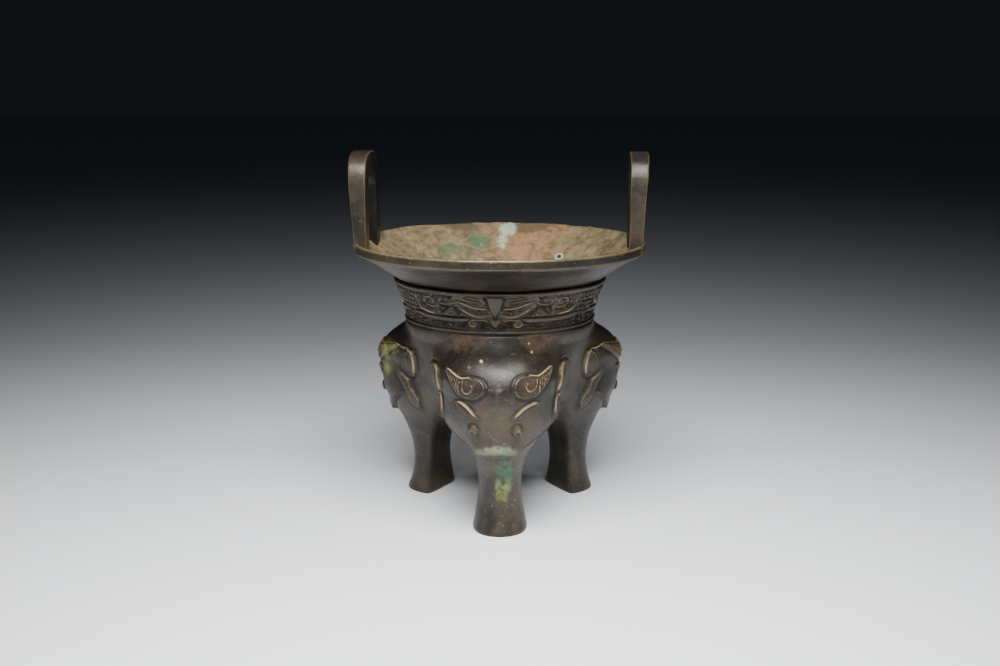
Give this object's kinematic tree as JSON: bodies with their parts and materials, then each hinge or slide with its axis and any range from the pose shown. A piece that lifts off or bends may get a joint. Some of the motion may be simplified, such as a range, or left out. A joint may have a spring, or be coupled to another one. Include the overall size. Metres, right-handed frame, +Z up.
{
  "type": "bronze ding vessel",
  "caption": "Archaistic cast bronze tripod ding: flared mouth with upright loop handles, banded neck and animal-mask lobes running down into solid legs.",
  "frame": {"origin": "on the ground, under the middle of the vessel", "axes": "+Z up, -Y towards the front, where one masked lobe and its leg stand, and X through the two handles"},
  "size_m": [0.1944, 0.192, 0.238],
  "materials": {
    "bronze": "dark brown patinated bronze, satin, with worn golden edges and green patches"
  },
  "bodies": {
    "root": {"ding_vessel": "bronze"}
  },
  "joints": []
}
